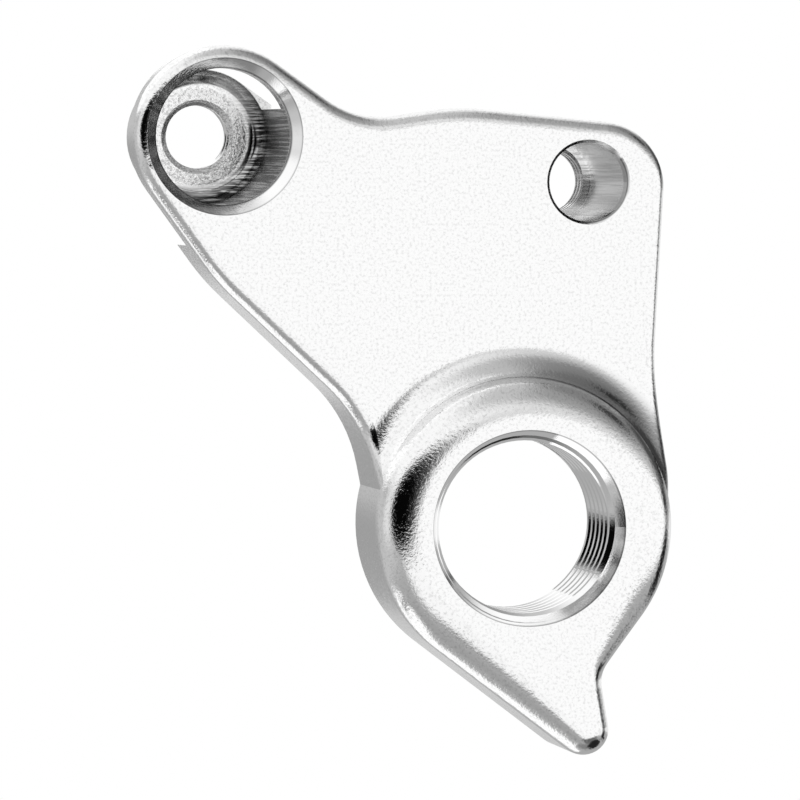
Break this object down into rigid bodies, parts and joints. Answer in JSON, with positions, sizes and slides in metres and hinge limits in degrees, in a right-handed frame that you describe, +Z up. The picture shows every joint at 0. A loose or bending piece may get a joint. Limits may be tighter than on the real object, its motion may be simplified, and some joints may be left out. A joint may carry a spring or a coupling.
{
  "type": "bicycle derailleur hanger",
  "caption": "Bicycle derailleur hanger: a plate with screw holes and a rear tongue that seats in the frame, and a raised threaded boss with a stop tail for the derailleur.",
  "frame": {"origin": "on the axis of the derailleur bolt's bore, in the plane of the plate's front face", "axes": "+Z up, from the boss towards the frame's screws; +Y along the bore, from the derailleur's side into the frame; +X to the right, seen from the derailleur's side"},
  "size_m": [0.0286, 0.0138, 0.0375],
  "materials": {
    "hanger": "satin, bead blasted"
  },
  "bodies": {
    "root": {"hanger": "hanger"}
  },
  "joints": []
}
